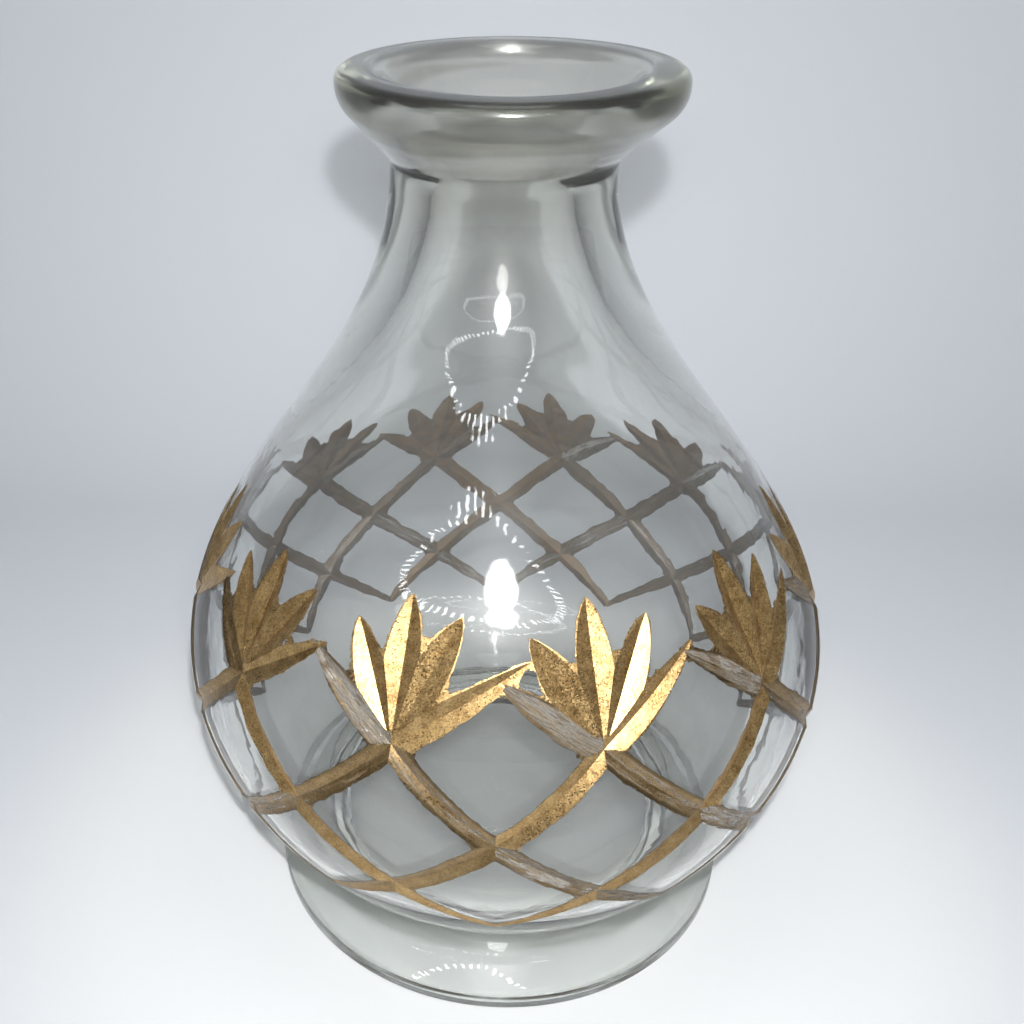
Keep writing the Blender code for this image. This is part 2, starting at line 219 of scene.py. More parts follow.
def petal_half_width_at(share, root):
    """Half width of a petal: a leaf with two blunt points, or one that starts as wide as a line.

    The leaf is 4 s (1 - s) to the power of its bluntness at a share s of its length, and a line
    narrows as 1 - s to the power of its taper.
    """
    leaf = np.clip(4 * share * (1 - share), 0.0, None)
    if root == 0.0:
        return petal_half_width * leaf**petal_bluntness
    narrowed = 1 - np.clip(share, 0.0, None) ** outer_petal_taper
    return root * narrowed + outer_petal_swell * leaf**outer_petal_bluntness


base_length = float(length_at(base_height))


def petals_of(fan):
    """Petals of one fan: the usual ones, turned and grown by hand; sines stand for the others' chance."""
    made = []
    for number, (degrees, reach, root) in enumerate(usual_petals):
        turn = petal_turn_spread * math.sin(2.3 * fan + 1.3 * number)
        growth = petal_growth_spread * math.sin(1.9 * fan + 2.7 * number)
        if fan % fan_count == left_front_fan:
            turn, growth = left_front_turns[number], left_front_growths[number]
        elif fan % fan_count == right_front_fan:
            turn, growth = 0.0, 0.0
        made.append((math.radians(degrees + turn), reach + growth, root))
    return made


def petal_place(angle, distance, across):
    """Azimuth and length of the point this far up a petal and this far to its right."""
    length = base_length + distance * math.cos(angle) - across * math.sin(angle)
    sideways = distance * math.sin(angle) + across * math.cos(angle)
    return sideways / height_to_radius(height_at(length)), length


def line_place(lean, row, across, base_azimuth):
    """Azimuth and length of the point at this row of a line and this far to its right, level."""
    return base_azimuth + lean * row * fan_spacing / 2 + across, length_at(row_height(row))


def line_tilt(height):
    """Cosine of a line's angle from upright at this height: turns a level offset into one square to it."""
    drop = row_drop - 2 * row_drop_easing * row_at(height)
    slope = slope_at(height)
    up = drop * np.sqrt(1 + slope**2)
    sideways = height_to_radius(height) * fan_spacing / 2
    return up / np.hypot(up, sideways)


def cut_fields(azimuth, length, sector):
    """Depth of every cut near one fan's sector at these points, with the distances along and across it.

    A wheel's cut is as deep as its half width less the distance across, over the wheel's slope.
    """
    height = height_at(length)
    radius = height_to_radius(height)
    fields = []
    for shift in (-1, 0, 1):
        sideways = (azimuth - shift * fan_spacing) * radius
        upwards = length - base_length
        for number, (angle, reach, root) in enumerate(petals_of(sector + shift)):
            along = sideways * math.sin(angle) + upwards * math.cos(angle)
            across = sideways * math.cos(angle) - upwards * math.sin(angle)
            width = petal_half_width_at(along / reach, root)
            width = np.where(along < 0.0, root + petal_root_closing * along, width)
            width = np.where(along > reach, petal_tip_closing * (reach - along), width)
            depth = (width - np.abs(across)) / wheel_slope
            fields.append((depth, along, across, shift, number))
    row = row_at(height)
    tilt = line_tilt(height)
    for shift in range(-lattice_rows, lattice_rows + 1):
        for lean in (-1, 1):
            middle = shift * fan_spacing + lean * row * fan_spacing / 2
            across = (azimuth - middle) * radius * tilt
            width = line_half_width_at(row)
            depth = (width - np.abs(across)) / wheel_slope
            along = row * row_drop / tilt
            fields.append((depth, along, across, shift, petal_count + (lean > 0)))
    return fields


def ridge_between(left, right):
    """Azimuths and lengths of the ridge where two neighbouring petals' cuts are equally deep.

    At each distance from the base, the angle is halved down to where the two depths meet.
    """
    reach = np.linspace(ridge_start, ridge_end, 30)
    low = np.full_like(reach, left[0])
    high = np.full_like(reach, right[0])
    for halving in range(30):
        middle = (low + high) / 2
        depths = []
        for angle, length, root in (left, right):
            width = petal_half_width_at(reach * np.cos(middle - angle) / length, root)
            depths.append(width - np.abs(reach * np.sin(middle - angle)))
        deeper_left = depths[0] > depths[1]
        low = np.where(deeper_left, middle, low)
        high = np.where(deeper_left, high, middle)
    kept = depths[0] > 0.0
    length = base_length + reach[kept] * np.cos(middle[kept])
    sideways = reach[kept] * np.sin(middle[kept])
    return sideways / height_to_radius(height_at(length)), length


def crease_curves(sector):
    """Azimuths and lengths along each crease of the cuts near one sector: valleys, edges and ridges."""
    curves = []
    for shift in (-1, 0, 1):
        petals = petals_of(sector + shift)
        creases = [ridge_between(*pair) for pair in zip(petals, petals[1:])]
        for angle, reach, root in petals:
            distance = np.linspace(0.0, reach, 28)
            width = petal_half_width_at(distance / reach, root)
            creases += [petal_place(angle, distance, width * side) for side in (-1, 0, 1)]
        curves += [(azimuth + shift * fan_spacing, length) for azimuth, length in creases]
    row = np.linspace(-line_top_overrun, lattice_rows + line_foot_overrun, 72)
    height = row_height(row)
    width = np.clip(line_half_width_at(row), 0.0, None) / (height_to_radius(height) * line_tilt(height))
    for shift in range(-lattice_rows, lattice_rows + 1):
        for lean in (-1, 1):
            for side in (-1, 0, 1):
                curves.append(line_place(lean, row, width * side, shift * fan_spacing))
    # At a crossing the four facets meet along a level ridge and an upright one
    for row in range(lattice_rows + 1):
        height = row_height(row)
        reach = float(line_half_width_at(row))
        tilt = float(line_tilt(height))
        level = np.array([-1.0, 0.0, 1.0]) * reach / (float(height_to_radius(height)) * tilt)
        upright = np.array([-1.0, 0.0, 1.0]) * reach / math.sqrt(1 - tilt**2)
        for shift in (-1, 0, 1):
            azimuth = (row % 2 / 2 + shift) * fan_spacing
            curves.append((azimuth + level, np.full(3, length_at(height))))
            curves.append((np.full(3, azimuth), length_at(height) + upright))
    return curves


millimetres = 1000.0
# Steps of the loose points on the plain glass and round a fan's base, the gaps that they keep, and
# how far past its sector a crease still counts, in radians
land_step = 0.0015
hub_step = 0.0004
hub_radius = 0.0038
hub_corners = np.array([(-0.005, -0.004), (0.005, 0.006)])
land_gap = 0.0006
hub_gap = 0.00012
border_gap = 0.0004
meeting_gap = 0.000004
sector_margin = 0.05


def sector_mesh(sector, low_length, high_length, columns):
    """Azimuths, lengths and triangles of one fan's share of the outside, creased along its cuts.

    The creases, the sector's borders and a scatter of points between them go to a constrained
    Delaunay triangulation in the unrolled plane.
    """
    scale = girth_radius
    half = fan_spacing / 2
    points = []
    edges = []

    def add_curve(azimuth, length):
        """Adds a curve's points, and an edge between each two that are in or just beside the sector."""
        inside = (np.abs(azimuth) < half + sector_margin) & (length > low_length) & (length < high_length)
        first = len(points)
        points.extend(zip(azimuth * scale, length))
        edges.extend(
            (first + i, first + i + 1) for i in range(len(azimuth) - 1) if inside[i] and inside[i + 1]
        )

    curves = crease_curves(sector)
    for azimuth, length in curves:
        add_curve(azimuth, length)
    crease_points = np.array(points)
    border_lengths = np.linspace(low_length, high_length, 70)
    border_azimuths = np.linspace(-half, half, columns + 1)
    first = len(points)
    ring = [(-half * scale, length) for length in border_lengths]
    ring += [(azimuth * scale, high_length) for azimuth in border_azimuths[1:]]
    ring += [(half * scale, length) for length in border_lengths[::-1][1:]]
    ring += [(azimuth * scale, low_length) for azimuth in border_azimuths[::-1][1:-1]]
    points.extend(ring)
    edges.extend((first + i, first + (i + 1) % len(ring)) for i in range(len(ring)))

    def spread_out(low, high, step):
        """Points one step apart, in rows 0.87 of a step apart, each half a step over from the last."""
        across = np.arange(low[0], high[0], step)
        up = np.arange(low[1], high[1], step * 0.87)
        grid = np.stack(np.meshgrid(across, up), axis=-1)
        grid[1::2, :, 0] += step / 2
        return grid.reshape(-1, 2)

    land = spread_out((-half * scale, low_length), (half * scale, high_length), land_step)
    hub = spread_out(*(hub_corners + (0.0, base_length)), hub_step)
    hub = hub[np.hypot(hub[:, 0], hub[:, 1] - base_length) < hub_radius]
    inside = (np.abs(land[:, 0]) < half * scale - border_gap) & (land[:, 1] > low_length + border_gap)
    land = land[inside & (land[:, 1] < high_length - border_gap)]
    for loose, gap in ((land, land_gap), (hub, hub_gap)):
        offsets = loose[:, None, :] - crease_points
        distance = np.hypot(offsets[..., 0], offsets[..., 1]).min(axis=1)
        points.extend(map(tuple, loose[distance > gap]))

    # In millimetres, and points of two creases that nearly meet become one
    vectors = [Vector((x * millimetres, y * millimetres)) for x, y in points]
    made = delaunay_2d_cdt(vectors, edges, [], 0, meeting_gap * millimetres)
    flat = np.array([tuple(point) for point in made[0]]) / millimetres
    triangles = np.array(made[2])
    middle = flat[triangles].mean(axis=1)
    kept = (np.abs(middle[:, 0]) < half * scale) & (middle[:, 1] > low_length) & (middle[:, 1] < high_length)
    triangles = triangles[kept]
    used, renumbered = np.unique(triangles, return_inverse=True)
    flat = flat[used]
    return flat[:, 0] / scale, flat[:, 1], renumbered.reshape(-1, 3)


def rounded_outline(corners, steps=8):
    """Radius and height points of an outline whose corners are (radius, height, fillet).

    A fillet is an arc tangent to both sides of its corner, limited to half of the shorter side.
    """
    points = []
    for index, (radius, height, fillet) in enumerate(corners):
        here = np.array([radius, height])
        if fillet == 0.0:
            points.append(here)
            continue
        before = np.array(corners[index - 1][:2]) - here
        after = np.array(corners[index + 1][:2]) - here
        shorter = min(np.linalg.norm(before), np.linalg.norm(after))
        before /= np.linalg.norm(before)
        after /= np.linalg.norm(after)
        half_corner = math.acos(float(np.clip(before @ after, -1.0, 1.0))) / 2
        reach = min(fillet / math.tan(half_corner), shorter / 2)
        centre = here + (before + after) / np.linalg.norm(before + after) * reach / math.cos(half_corner)
        first = here + before * reach - centre
        last = here + after * reach - centre
        swing = math.pi - 2 * half_corner
        share = np.linspace(0.0, 1.0, steps + 1)[:, None]
        arc = first * np.sin((1 - share) * swing) + last * np.sin(share * swing)
        points.extend(centre + arc / math.sin(swing))
    return np.array(points)


def turned_rows(outline, columns):
    """A grid of points, one ring of columns for each point of the outline."""
    azimuth = spaced(np.arange(columns) * 2 * math.pi / columns)
    radius, height = outline[:, 0, None], outline[:, 1, None]
    return np.stack(
        [radius * np.sin(azimuth), -radius * np.cos(azimuth), height + 0 * azimuth], axis=-1
    )


def lean_rim(points):
    """Moves the collar's points off the true axis and level, more the nearer they are to the rim.

    The lift is a tilt to the left and the back, less a dip that goes as the cosine squared.
    """
    share = eased((points[..., 2] - neck_height + lean_depth) / (rim_height - neck_height))
    ahead = -points[..., 1] / np.maximum(np.hypot(points[..., 0], points[..., 1]), 1e-6)
    lift = -rim_rise_left * points[..., 0] + rim_rise_back * points[..., 1]
    lift -= rim_dip * np.clip(ahead, 0.0, None) ** 2
    moved = points.copy()
    moved[..., 0] += rim_offset * share
    moved[..., 2] += lift * share
    return moved


def ring_faces(first_rows, columns):
    """Quads between each pair of neighbouring rings of a grid whose points are numbered row by row."""
    column = np.arange(columns)
    after = (column + 1) % columns
    quads = [
        np.stack([row + column, row + after, row + columns + after, row + columns + column], axis=-1)
        for row in first_rows
    ]
    return np.concatenate(quads)


# The cuts lie between these two heights
band_foot_height = 0.0295
band_top_height = 0.0995
low_length = float(length_at(band_foot_height))
high_length = float(length_at(band_top_height))
sector_columns = 24
columns = sector_columns * fan_count

# Each sector's mesh: azimuth from the front, length up the curve, faces, depth, and the cuts' fields
sheets = []
band_points = []
band_faces = []
point_count = 0
for sector in range(fan_count):
    azimuth, length, sector_faces = sector_mesh(sector, low_length, high_length, sector_columns)
    fields = cut_fields(azimuth, length, sector)
    middle_length = length[sector_faces].mean(axis=1)
    edge_distance = np.max([field[0] for field in fields], axis=0) * wheel_slope
    sheets.append({
        "azimuth": azimuth + (sector + 0.5) * fan_spacing,
        "length": length,
        "faces": sector_faces,
        "depth": np.clip(edge_distance / wheel_slope, 0.0, None),
        "edge": edge_distance,
        "along": np.array([field[1] for field in fields]),
        "across": np.array([field[2] for field in fields]),
        "middle_fields": cut_fields(azimuth[sector_faces].mean(axis=1), middle_length, sector),
        "middle_length": middle_length,
    })
    band_faces.append(sector_faces + point_count)
    band_points.append(on_outside(sheets[sector]["azimuth"], length, sheets[sector]["depth"]))
    point_count += len(length)
band_points = np.concatenate(band_points)
band_faces = np.concatenate(band_faces)

shoulder_heights = np.linspace(band_top_height, neck_height, 40)
belly_heights = np.linspace(band_foot_height, waist_height, 14)
upper = [(float(height_to_radius(z)), z, 0.0) for z in shoulder_heights[:-1]]
upper += [
    (neck_radius, neck_height, 0.0),
    (neck_radius, neck_top_height, neck_fillet),
    (collar_radius, flare_top_height, collar_fillet),
    (collar_radius, rim_height, rim_outer_fillet),
    (mouth_radius, rim_height, rim_inner_fillet),
    (neck_radius - neck_wall, neck_height, throat_fillet),
]
# The wall is thinnest on the shoulder, where the bulb was blown furthest, and thickest in the neck
bore_heights = np.linspace(neck_height - throat_drop, girth_height, 38)
below = eased((shoulder_wall_height - bore_heights) / (shoulder_wall_height - girth_height))
above = eased((bore_heights - shoulder_wall_height) / (neck_wall_height - shoulder_wall_height))
bore_wall = shoulder_wall + (belly_wall - shoulder_wall) * below + (neck_wall - shoulder_wall) * above
upper += [(r, z, 0.0) for r, z in zip(height_to_radius(bore_heights) - bore_wall, bore_heights)]
bowl_turn = np.linspace(0.0, math.pi / 2, 38)[1:-1]
bowl_radii = (girth_radius - belly_wall) * np.cos(bowl_turn) ** bowl_roundness
bowl_heights = girth_height - (girth_height - floor_height) * np.sin(bowl_turn)
upper += [(r, z, 0.0) for r, z in zip(bowl_radii, bowl_heights)]
upper = rounded_outline(upper)

lower = [(float(height_to_radius(z)), z, 0.0) for z in belly_heights[:-1]]
lower += [
    (waist_radius, waist_height, waist_fillet),
    (flare_radius, flare_height, flare_fillet),
    (foot_radius, foot_edge_height, foot_edge_fillet),
    (foot_radius, 0.0, foot_edge_fillet),
    (rest_ring_inner_radius, 0.0, rest_ring_fillet),
    (skirt_inner_radius, skirt_inner_height, skirt_inner_fillet),
]
# Under the bowl the outside follows the hollow's floor, one base thickness below it
underside = np.linspace(underside_radius, underside_pole_radius, 16)
bowl_cosine = (underside / (girth_radius - belly_wall)) ** (1 / bowl_roundness)
underside_heights = girth_height - (girth_height - floor_height) * np.sqrt(1 - bowl_cosine**2)
lower += [(r, z - base_thickness, 0.0) for r, z in zip(underside, underside_heights)]
lower = rounded_outline(lower)

parts = [band_points]
faces = [tuple(face) for face in band_faces.tolist()]
for outline, pole_height, upwards in (
    (upper, floor_height, True), (lower, floor_height - base_thickness, False)
):
    first = sum(len(part) for part in parts)
    grid = lean_rim(turned_rows(outline, columns))
    parts.append(grid.reshape(-1, 3))
    quads = ring_faces(first + columns * np.arange(len(outline) - 1), columns)
    last = first + columns * (len(outline) - 1)
    parts.append(np.array([[0.0, 0.0, pole_height]]))
    column = np.arange(columns)
    cap = np.stack([last + column, last + (column + 1) % columns, np.full(columns, last + columns)], axis=-1)
    if not upwards:
        quads, cap = quads[:, ::-1], cap[:, ::-1]
    faces += [tuple(face) for face in quads.tolist()] + [tuple(face) for face in cap.tolist()]

mesh = bpy.data.meshes.new("cut_glass_body")
mesh.from_pydata(np.concatenate(parts).tolist(), [], faces)


# Points closer than this are one, and faces that meet at more than the sharp angle keep their crease
weld_gap = 2e-6
sharp_angle = math.radians(14.0)


def finish_piece(piece, replaced):
    """Welds a new piece, shades it smooth but for its creases, and gives it its place."""
    shape = bmesh.new()
    shape.from_mesh(piece.data)
    bmesh.ops.remove_doubles(shape, verts=shape.verts, dist=weld_gap)
    bmesh.ops.dissolve_degenerate(shape, edges=shape.edges, dist=weld_gap / 2)
    shape.to_mesh(piece.data)
    shape.free()
    piece.data.shade_smooth()
    piece.data.set_sharp_from_angle(angle=sharp_angle)
    scene.collection.objects.link(piece)
    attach(piece, "root")
    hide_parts(*replaced)


def add_node(tree, kind, values=(), **settings):
    """A new shader node of this kind, with its settings and the values of some inputs."""
    made = tree.nodes.new(kind)
    for name, value in settings.items():
        setattr(made, name, value)
    for name, value in dict(values).items():
        made.inputs[name].default_value = value
    return made


def chain(tree, *sockets):
    """Feeds inputs: an output or a plain value, the input that it goes to, the next one, and so on."""
    for source, target in zip(sockets[::2], sockets[1::2]):
        if isinstance(source, bpy.types.NodeSocket):
            tree.links.new(source, target)
        else:
            target.default_value = source


def blend(tree, factor, first, second):
    """Colour that goes from first to second as the factor rises to 1."""
    made = add_node(tree, "ShaderNodeMix", data_type="RGBA")
    chain(tree, factor, made.inputs["Factor"], first, made.inputs["A"], second, made.inputs["B"])
    return made.outputs["Result"]


def math_node(tree, operation, first, second=0.0, third=0.0):
    """Result of a math operation; an operand is a socket or a number."""
    made = add_node(tree, "ShaderNodeMath", operation=operation)
    chain(tree, first, made.inputs[0], second, made.inputs[1], third, made.inputs[2])
    return made.outputs["Value"]


def vector_length(tree, vector):
    """Length of a vector."""
    made = add_node(tree, "ShaderNodeVectorMath", operation="LENGTH")
    chain(tree, vector, made.inputs[0])
    return made.outputs["Value"]


def ramp_between(tree, value, low, high, first=0.0, last=1.0, interpolation="LINEAR"):
    """Number that goes from first to last as the value goes from low to high, held at both ends."""
    made = add_node(
        tree, "ShaderNodeMapRange", {"From Min": low, "From Max": high, "To Min": first, "To Max": last},
        interpolation_type=interpolation,
    )
    chain(tree, value, made.inputs["Value"])
    return made.outputs["Result"]


def parts_of(tree, vector):
    """The X, Y and Z of a vector."""
    made = add_node(tree, "ShaderNodeSeparateXYZ")
    chain(tree, vector, made.inputs["Vector"])
    return made.outputs["X"], made.outputs["Y"], made.outputs["Z"]


def noise(tree, place, scale, detail):
    """Noise from 0 to 1 at the place, in object metres or in the units of a UV map."""
    made = add_node(tree, "ShaderNodeTexNoise", {"Scale": scale, "Detail": detail})
    chain(tree, place, made.inputs["Vector"])
    return made.outputs["Fac"]


def colour_ramp(tree, share, stops):
    """Colour at this share of a row of stops, each a position and a colour."""
    made = add_node(tree, "ShaderNodeValToRGB")
    elements = made.color_ramp.elements
    while len(elements) < len(stops):
        elements.new(0.5)
    for element, (position, colour) in zip(elements, stops):
        element.position = position
        element.color = (*colour, 1.0)
    chain(tree, share, made.inputs["Fac"])
    return made.outputs["Color"]


clear_glass = bpy.data.materials.new("clear_glass")
clear_glass.use_nodes = True
tree = clear_glass.node_tree
glass = tree.nodes["Principled BSDF"]
glass.inputs["IOR"].default_value = 1.51
glass.inputs["Transmission Weight"].default_value = 0.98
tint = add_node(tree, "ShaderNodeVolumeAbsorption", {"Color": (0.62, 0.66, 0.52, 1.0), "Density": 20.0})
chain(tree, tint.outputs["Volume"], tree.nodes["Material Output"].inputs["Volume"])
# Light reaches what stands behind the glass: each surface stops only some of a shadow ray
shadow_ray = add_node(tree, "ShaderNodeLightPath").outputs["Is Shadow Ray"]
chain(tree, ramp_between(tree, shadow_ray, 0.0, 1.0, 1.0, 0.38), glass.inputs["Alpha"])

# The foot is darker as painted shade for the dim floor seen through it, and the collar greyer partly for its
# thick glass and partly as painted shade: each stop is a share of the height and the glass's colour
shade_and_tint_stops = [
    (0.00, (0.66, 0.67, 0.665)),
    (0.08, (0.75, 0.76, 0.755)),
    (0.16, (0.935, 0.942, 0.938)),
    (0.55, (0.945, 0.952, 0.948)),
    (0.80, (0.955, 0.960, 0.955)),
    (0.91, (0.765, 0.76, 0.73)),
    (1.00, (0.69, 0.685, 0.65)),
]
place = add_node(tree, "ShaderNodeTexCoord").outputs["Object"]
height = parts_of(tree, place)[2]
shade_and_tint = colour_ramp(tree, ramp_between(tree, height, 0.0, rim_height), shade_and_tint_stops)

# The collar was drawn out by hand, so it has level streaks, and a softer surface outside the mouth
in_collar = ramp_between(tree, height, neck_top_height - 0.004, neck_top_height + 0.003)
level_place = add_node(tree, "ShaderNodeVectorMath", operation="MULTIPLY")
chain(tree, place, level_place.inputs[0], (1.0, 1.0, 0.0), level_place.inputs[1])
off_axis = vector_length(tree, level_place.outputs["Vector"])
outside_mouth = ramp_between(tree, off_axis, mouth_radius + 0.0008, mouth_radius + 0.0020)
drawn_zone = math_node(tree, "MULTIPLY", in_collar, outside_mouth)
drawn = add_node(tree, "ShaderNodeMapping", {"Scale": (22.0, 22.0, 240.0), "Rotation": (0.05, 0.04, 0.0)})
chain(tree, place, drawn.inputs["Vector"])
streak = noise(tree, drawn.outputs["Vector"], 1.0, 2.0)
streak_share = math_node(tree, "MULTIPLY", ramp_between(tree, streak, 0.36, 0.48, 0.65, 0.0), in_collar)
chain(
    tree,
    blend(tree, streak_share, shade_and_tint, (0.33, 0.31, 0.25, 1.0)), glass.inputs["Base Color"],
    ramp_between(tree, drawn_zone, 0.0, 1.0, 0.015, 0.17), glass.inputs["Roughness"],
)
# No face is quite even
waves = noise(tree, place, 75.0, 3.0)
drawn_relief = math_node(tree, "MULTIPLY", streak, drawn_zone)
relief = add_node(tree, "ShaderNodeBump", {"Distance": 0.00022})
chain(
    tree,
    math_node(tree, "MULTIPLY_ADD", waves, 0.35, drawn_relief), relief.inputs["Height"],
    relief.outputs["Normal"], glass.inputs["Normal"],
)

mesh.materials.append(clear_glass)
glass_body = bpy.data.objects.new("cut_glass_body", mesh)
finish_piece(glass_body, ["glass_body"])

# Gilding. Gold paint brushed into the cuts by hand, a little past their edges: one coat for each fan
# with the lines down to the next row, one for each crossing below. It is granular and ragged, and
# along some lines it has worn to a grey haze.
paint_thickness = 0.00004
crumb_area = 0.1e-6
paint_overrun = 0.0013
petal_overrun = 0.00012
# Wear runs from 0, whole, to 1, gone. It strays by the spreads, or is a cut's own, by fan and number.
usual_line_wear = 0.26
line_wear_spread = 0.14
usual_petal_wear = 0.06
petal_wear_spread = 0.04
left_petal_wear = 0.50
left_petal_wear_spread = 0.15
lower_row_wear = 0.12
line_wear = {(0, 5): 0.18, (0, 6): 0.46, (1, 5): 0.14, (1, 6): 0.40, (11, 5): 0.34, (11, 6): 0.48,
             (10, 5): 0.26, (10, 6): 0.10}
petal_wear = {(0, 0): 0.70, (1, 0): 0.62, (11, 0): 0.72}

paint_group = bpy.data.node_groups.new("brushed paint", "ShaderNodeTree")
for name in ("Bright", "Dark", "Haze", "Rim"):
    paint_group.interface.new_socket(name, in_out="INPUT", socket_type="NodeSocketColor")
for name, kind in (
    ("Color", "NodeSocketColor"), ("Metal", "NodeSocketFloat"), ("Cover", "NodeSocketFloat"),
    ("Roughness", "NodeSocketFloat"), ("Height", "NodeSocketFloat"),
):
    paint_group.interface.new_socket(name, in_out="OUTPUT", socket_type=kind)

tree = paint_group
given = add_node(tree, "NodeGroupInput")
told = add_node(tree, "NodeGroupOutput")
solid = add_node(tree, "ShaderNodeTexCoord").outputs["Object"]
run = add_node(tree, "ShaderNodeUVMap", uv_map="cut_run").outputs["UV"]
coat = add_node(tree, "ShaderNodeUVMap", uv_map="coat").outputs["UV"]
edge, wear, _ = parts_of(tree, coat)

flakes = add_node(tree, "ShaderNodeTexVoronoi", {"Scale": 4600.0})
chain(tree, solid, flakes.inputs["Vector"])
flake_parts = add_node(tree, "ShaderNodeSeparateColor")
chain(tree, flakes.outputs["Color"], flake_parts.inputs["Color"])
clouds = noise(tree, solid, 420.0, 3.0)
grain = math_node(tree, "MULTIPLY_ADD", flake_parts.outputs["Red"], 0.50, -0.25)
grain = ramp_between(tree, math_node(tree, "ADD", grain, clouds), 0.15, 0.95)
gold_colour = blend(tree, grain, given.outputs["Dark"], given.outputs["Bright"])

streaks = add_node(tree, "ShaderNodeMapping", {"Scale": (0.07, 0.85, 1.0)})
chain(tree, run, streaks.inputs["Vector"])
streak = noise(tree, streaks.outputs["Vector"], 1.6, 3.0)
fine_streak = ramp_between(tree, noise(tree, streaks.outputs["Vector"], 4.2, 3.0), 0.38, 0.60)
patch = noise(tree, solid, 1100.0, 2.0)
kept = math_node(tree, "MULTIPLY_ADD", patch, 0.25, streak)
# Worn paint stays longest, and dark, along the edges of its cut
beside_edge = ramp_between(tree, edge, 0.70, 0.20)
kept = math_node(tree, "MULTIPLY_ADD", beside_edge, 0.22, kept)
haze = math_node(tree, "SUBTRACT", math_node(tree, "ADD", wear, 0.14), kept)
haze = ramp_between(tree, haze, -0.12, 0.12)
edge_dark = math_node(tree, "MULTIPLY", beside_edge, ramp_between(tree, wear, 0.18, 0.48))
edge_dark = math_node(tree, "MULTIPLY", edge_dark, 0.90)
worn_colour = blend(tree, fine_streak, given.outputs["Rim"], given.outputs["Haze"])
# The lines, handled more than the petals, are browner
tarnish = math_node(tree, "MULTIPLY", ramp_between(tree, wear, 0.11, 0.30), 0.60)
browned = blend(tree, tarnish, gold_colour, given.outputs["Rim"])

ragged = math_node(tree, "MULTIPLY_ADD", noise(tree, solid, 260.0, 2.0), 1.1, edge)
ragged = math_node(tree, "MULTIPLY_ADD", noise(tree, solid, 1700.0, 2.0), 0.45, ragged)
cover = ramp_between(tree, ragged, 0.60, 0.72)
# A worn place keeps thin dark streaks and pale ones, and is nearly clear between the two
streak_body = math_node(tree, "ABSOLUTE", math_node(tree, "MULTIPLY_ADD", fine_streak, 2.0, -1.0))
streak_body = math_node(tree, "MULTIPLY_ADD", streak_body, 0.62, 0.20)
streak_body = math_node(tree, "MULTIPLY", streak_body, math_node(tree, "MULTIPLY_ADD", wear, -0.6, 1.25))
clearness = math_node(tree, "SUBTRACT", streak_body, 1.0)
thinned = math_node(tree, "MULTIPLY_ADD", haze, clearness, 1.0)
chain(
    tree,
    blend(tree, edge_dark, blend(tree, haze, browned, worn_colour), given.outputs["Rim"]),
    told.inputs["Color"],
    math_node(tree, "MULTIPLY_ADD", haze, -0.9, 1.0), told.inputs["Metal"],
    math_node(tree, "MULTIPLY", cover, thinned), told.inputs["Cover"],
    math_node(tree, "MULTIPLY_ADD", flake_parts.outputs["Green"], 0.28, 0.24), told.inputs["Roughness"],
    math_node(tree, "MULTIPLY_ADD", flake_parts.outputs["Blue"], 0.18, clouds), told.inputs["Height"],
)


def paint_material(name, bright, dark, haze_colour, rim_colour, lustre, grain_depth):
    """The paint's material: flakes from dark to bright, worn places hazy, and no colour past its edge."""
    made = bpy.data.materials.new(name)
    made.use_nodes = True
    nodes = made.node_tree
    shader = nodes.nodes["Principled BSDF"]
    look = add_node(nodes, "ShaderNodeGroup", node_tree=paint_group)
    for socket, colour in (("Bright", bright), ("Dark", dark), ("Haze", haze_colour), ("Rim", rim_colour)):
        look.inputs[socket].default_value = (*colour, 1.0)
    relief = add_node(nodes, "ShaderNodeBump", {"Strength": 0.8, "Distance": grain_depth})
    metal = math_node(nodes, "MULTIPLY", look.outputs["Metal"], lustre)
    chain(
        nodes,
        look.outputs["Color"], shader.inputs["Base Color"],
        metal, shader.inputs["Metallic"],
        look.outputs["Cover"], shader.inputs["Alpha"],
        look.outputs["Roughness"], shader.inputs["Roughness"],
        look.outputs["Height"], relief.inputs["Height"],
        relief.outputs["Normal"], shader.inputs["Normal"],
    )
    return made


gold_face = paint_material(
    "gold_paint", bright=(0.86, 0.60, 0.28), dark=(0.34, 0.20, 0.072), haze_colour=(0.25, 0.20, 0.145),
    rim_colour=(0.15, 0.105, 0.055), lustre=1.0, grain_depth=0.00006
)
# The same paint seen from the glass side: duller, and far darker, partly for the back of the paint film and
# partly as painted shade for the dim inside of the vase where it is seen
gold_underside_shaded = paint_material(
    "gold_paint_underside_shaded", bright=(0.21, 0.112, 0.028), dark=(0.065, 0.032, 0.007),
    haze_colour=(0.24, 0.195, 0.135), rim_colour=(0.06, 0.04, 0.02), lustre=0.35, grain_depth=0.00004
)

for sheet in sheets:
    middle_fields = sheet.pop("middle_fields")
    sheet["owner"] = np.array([field[0] for field in middle_fields]).argmax(axis=0)
    sheet["shift"] = np.array([field[3] for field in middle_fields])[sheet["owner"]]
    sheet["number"] = np.array([field[4] for field in middle_fields])[sheet["owner"]]
    sheet["painted"] = sheet["edge"][sheet["faces"]].max(axis=1) > -paint_overrun
    sheet["upper"] = row_at(height_at(sheet["middle_length"])) < 1.0


def wear_of(fan, number):
    """Wear of the paint in a cut of this fan: its own value, or a usual one that strays as a sine."""
    if number >= petal_count:
        usual = usual_line_wear + line_wear_spread * math.sin(2.4 * fan + 1.9 * number)
        return line_wear.get((fan, number), usual)
    if number == 0:
        return petal_wear.get((fan, number), left_petal_wear + left_petal_wear_spread * math.sin(1.7 * fan))
    return usual_petal_wear + petal_wear_spread * math.sin(2.1 * fan + number)


wear_table = np.array(
    [[wear_of(fan, number) for number in range(petal_count + 2)] for fan in range(fan_count)]
)


